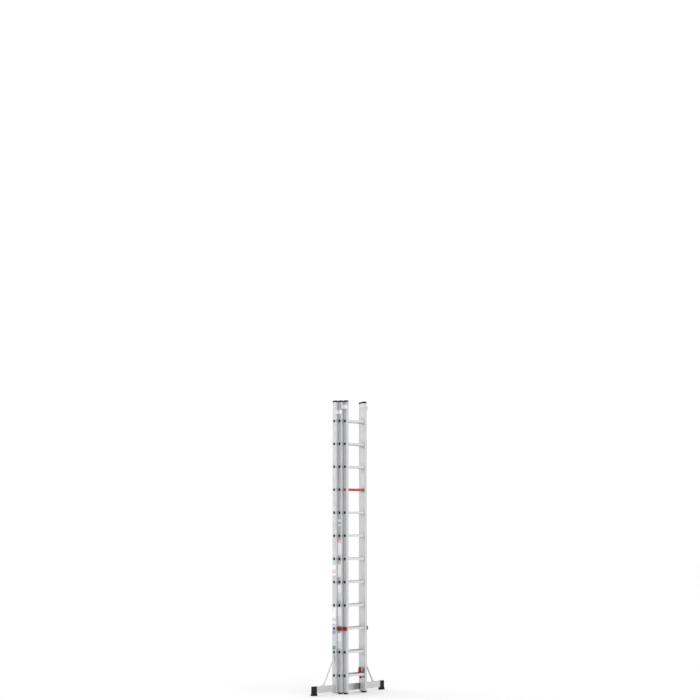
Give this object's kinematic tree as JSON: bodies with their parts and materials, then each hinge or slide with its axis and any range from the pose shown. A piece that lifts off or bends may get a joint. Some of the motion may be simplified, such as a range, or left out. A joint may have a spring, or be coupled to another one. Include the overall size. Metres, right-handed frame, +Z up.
{
  "type": "extension ladder",
  "caption": "Aluminium ladder of sliding sections nested behind each other on a wide stabiliser bar, with swinging rung hooks and a red warning rung.",
  "frame": {"origin": "on the floor, under the middle of the closed ladder's bounding box", "axes": "+X to the climber's right, +Y from the climber towards the rear section, +Z up along the stiles"},
  "size_m": [1.212, 0.1924, 3.554],
  "materials": {
    "stile_aluminium": "satin extruded",
    "rung_aluminium": "satin, ribbed tread",
    "bar_aluminium": "satin extruded",
    "bracket_aluminium": "plain mill finish",
    "steel": "zinc plated",
    "red_rung": "semi-gloss red paint",
    "red_plastic": "moulded, fine texture",
    "black_plastic": "moulded, fine texture",
    "black_rubber": "matt rubber"
  },
  "bodies": {
    "rear_section": {"bar_bolts": "steel", "bar_buffers": "black_rubber", "left_bar_foot": "black_rubber", "left_strut": "steel", "rear_guide_rivets": "steel", "rear_left_guide": "bracket_aluminium", "rear_left_stile": "stile_aluminium", "rear_right_guide": "bracket_aluminium", "rear_right_stile": "stile_aluminium", "rear_rung_plugs": "black_plastic", "rear_rungs": "rung_aluminium", "rear_stile_ends": "black_plastic", "rear_top_caps": "black_plastic", "right_bar_foot": "black_rubber", "right_strut": "steel", "stabiliser_bar": "bar_aluminium"},
    "middle_section": {"middle_guide_rivets": "steel", "middle_hook_pins": "steel", "middle_left_foot": "black_rubber", "middle_left_guide": "bracket_aluminium", "middle_left_guide_block": "red_plastic", "middle_left_hook_bracket": "red_plastic", "middle_left_stile": "stile_aluminium", "middle_right_foot": "black_rubber", "middle_right_guide": "bracket_aluminium", "middle_right_guide_block": "red_plastic", "middle_right_hook_bracket": "red_plastic", "middle_right_stile": "stile_aluminium", "middle_rung_plugs": "black_plastic", "middle_rungs": "rung_aluminium", "middle_top_caps": "black_plastic"},
    "front_section": {"front_hook_pins": "steel", "front_left_foot": "black_rubber", "front_left_guide_block": "red_plastic", "front_left_hook_bracket": "red_plastic", "front_left_stile": "stile_aluminium", "front_red_rung": "red_rung", "front_red_rung_plugs": "red_plastic", "front_right_foot": "black_rubber", "front_right_guide_block": "red_plastic", "front_right_hook_bracket": "red_plastic", "front_right_stile": "stile_aluminium", "front_rung_01": "rung_aluminium", "front_rung_02": "rung_aluminium", "front_rung_03": "rung_aluminium", "front_rung_04": "rung_aluminium", "front_rung_05": "rung_aluminium", "front_rung_06": "rung_aluminium", "front_rung_07": "rung_aluminium", "front_rung_08": "rung_aluminium", "front_rung_10": "rung_aluminium", "front_rung_11": "rung_aluminium", "front_rung_12": "rung_aluminium", "front_rung_plugs": "black_plastic", "front_top_caps": "black_plastic"},
    "front_left_hook": {"front_left_hook": "red_plastic"},
    "front_right_hook": {"front_right_hook": "red_plastic"},
    "middle_left_hook": {"middle_left_hook": "red_plastic"},
    "middle_right_hook": {"middle_right_hook": "red_plastic"}
  },
  "joints": [
    {"name": "middle_slide", "type": "slide", "parent": "rear_section", "child": "middle_section", "axis": [0, 0, 1], "range_m": [0, 2.52]},
    {"name": "front_slide", "type": "slide", "parent": "middle_section", "child": "front_section", "axis": [0, 0, 1], "range_m": [0, 2.52]},
    {"name": "front_left_hook_hinge", "type": "hinge", "parent": "front_section", "child": "front_left_hook", "pos_m": [0, -0.029, 0.2415], "axis": [-1, 0, 0], "range_deg": [0, 90]},
    {"name": "front_right_hook_hinge", "type": "hinge", "parent": "front_section", "child": "front_right_hook", "pos_m": [0, -0.029, 0.2415], "axis": [-1, 0, 0], "range_deg": [0, 90]},
    {"name": "middle_left_hook_hinge", "type": "hinge", "parent": "middle_section", "child": "middle_left_hook", "pos_m": [0, 0.029, 0.2415], "axis": [-1, 0, 0], "range_deg": [0, 90]},
    {"name": "middle_right_hook_hinge", "type": "hinge", "parent": "middle_section", "child": "middle_right_hook", "pos_m": [0, 0.029, 0.2415], "axis": [-1, 0, 0], "range_deg": [0, 90]}
  ]
}
